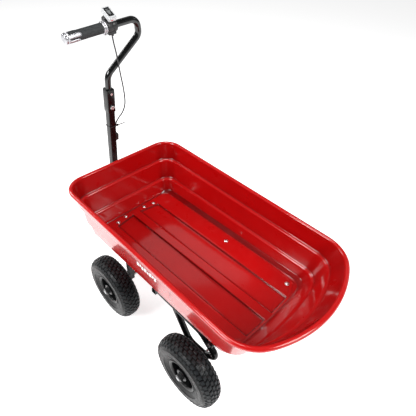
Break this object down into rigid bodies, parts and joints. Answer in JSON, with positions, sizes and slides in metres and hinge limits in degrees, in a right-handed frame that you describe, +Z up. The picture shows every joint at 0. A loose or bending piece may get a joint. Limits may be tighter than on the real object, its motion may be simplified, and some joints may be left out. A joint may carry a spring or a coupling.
{
  "type": "motorised garden cart",
  "caption": "Garden cart with a stepped steel tipping tray, bent tube chassis, pneumatic wheels, steering drawbar with twist throttle, and a hidden electric drive.",
  "frame": {"origin": "on the ground, under the middle of the cart's length and width", "axes": "+X forward to the drawbar, +Y to the cart's left, +Z up"},
  "size_m": [1.0447, 0.572, 1.0543],
  "materials": {
    "red_paint": "glossy red powder coat",
    "zinc_steel": "bright zinc plate",
    "black_paint": "gloss black powder coat",
    "tyre": "moulded rubber with small tread blocks",
    "rim_paint": "satin black paint",
    "steel": "turned steel",
    "bronze": "sintered bronze",
    "rubber": "ribbed matte rubber",
    "chrome": "bright chrome",
    "black_plastic": "fine moulded texture",
    "cast_aluminium": "cast, fine grain",
    "white_plastic": "pearl white moulding",
    "dark_window": "smoked clear window over a dark panel",
    "cable_sheath": "smooth black sheath"
  },
  "bodies": {
    "chassis": {"frame_hoop_left": "black_paint", "frame_hoop_right": "black_paint", "cross_members": "black_paint", "frame_spine": "black_paint", "head_plate": "black_paint", "kingpin": "zinc_steel", "axle_bushes": "bronze", "hinge_rod": "steel", "rest_pads": "rubber", "battery_case": "black_plastic", "battery_lid": "black_plastic", "batteries": "black_plastic", "battery_straps": "black_paint", "controller": "cast_aluminium", "motor": "cast_aluminium", "gear_case_left": "cast_aluminium", "gear_case_right": "cast_aluminium"},
    "tray": {"tray": "red_paint", "tray_bolts": "zinc_steel", "cradle_bars": "black_paint", "pivot_lugs": "black_paint", "latch_keeper": "black_paint"},
    "latch": {"latch_bolt": "zinc_steel", "latch_knob": "black_plastic"},
    "pinion": {"motor_pinion": "steel"},
    "rear_axle": {"rear_axle": "steel", "rear_axle_fittings": "zinc_steel", "axle_gear": "steel", "tyre_rear_left": "tyre", "tyre_rear_right": "tyre", "rim_rear_left": "rim_paint", "rim_rear_right": "rim_paint", "rim_bolts_rear": "zinc_steel"},
    "steering": {"steering_fork": "black_paint", "tongue": "black_paint", "front_axle": "steel", "front_axle_fittings": "zinc_steel", "drawbar_pivot_bolt": "zinc_steel"},
    "wheel_front_left": {"tyre_front_left": "tyre", "rim_front_left": "rim_paint", "rim_bolts_front_left": "zinc_steel", "bearings_front_left": "steel"},
    "wheel_front_right": {"tyre_front_right": "tyre", "rim_front_right": "rim_paint", "rim_bolts_front_right": "zinc_steel", "bearings_front_right": "steel"},
    "drawbar": {"drawbar_post": "black_paint", "handle_sleeve": "black_paint", "sleeve_bolts": "zinc_steel", "handle_tube": "black_paint", "throttle_ring": "chrome", "throttle_housing": "black_plastic", "display_case": "white_plastic", "display_window": "dark_window", "control_cable": "cable_sheath", "cable_gland": "black_plastic", "cable_tie": "black_plastic"},
    "throttle": {"grip_rubber": "rubber", "grip_end": "chrome"},
    "button": {"start_button": "black_plastic"}
  },
  "joints": [
    {"name": "tray_tip", "type": "hinge", "parent": "chassis", "child": "tray", "pos_m": [-0.273, 0, 0.252], "axis": [0, -1, 0], "range_deg": [0, 80]},
    {"name": "latch_slide", "type": "slide", "parent": "chassis", "child": "latch", "axis": [-1, 0, 0], "range_m": [0, 0.025]},
    {"name": "rear_axle_spin", "type": "hinge", "parent": "chassis", "child": "rear_axle", "pos_m": [-0.243, 0, 0.13], "axis": [0, 1, 0], "continuous": true},
    {"name": "pinion_spin", "type": "hinge", "parent": "chassis", "child": "pinion", "pos_m": [-0.1907, 0, 0.13], "axis": [0, 1, 0], "continuous": true},
    {"name": "steering_turn", "type": "hinge", "parent": "chassis", "child": "steering", "pos_m": [0.1988, 0, 0.25], "axis": [0, 0, 1], "range_deg": [-20, 20]},
    {"name": "front_left_spin", "type": "hinge", "parent": "steering", "child": "wheel_front_left", "pos_m": [0.1988, 0.225, 0.13], "axis": [0, 1, 0], "continuous": true},
    {"name": "front_right_spin", "type": "hinge", "parent": "steering", "child": "wheel_front_right", "pos_m": [0.1988, -0.225, 0.13], "axis": [0, 1, 0], "continuous": true},
    {"name": "drawbar_pitch", "type": "hinge", "parent": "steering", "child": "drawbar", "pos_m": [0.5028, 0, 0.165], "axis": [0, 1, 0], "range_deg": [0, 70]},
    {"name": "throttle_twist", "type": "hinge", "parent": "drawbar", "child": "throttle", "pos_m": [0.41385, 0, 1.00026], "axis": [0.0079, 0.9972, -0.0739], "range_deg": [0, 70], "stiffness_Nm_per_rad": 0.3, "springref_deg": -11.46},
    {"name": "button_press", "type": "slide", "parent": "drawbar", "child": "button", "axis": [-0.9944, 0, -0.1059], "range_m": [0, 0.003], "stiffness_N_per_m": 400, "springref_m": -0.001}
  ],
  "couplings": [
    {"joint": "pinion_spin", "follows": "rear_axle_spin", "ratio": -3.3333}
  ]
}
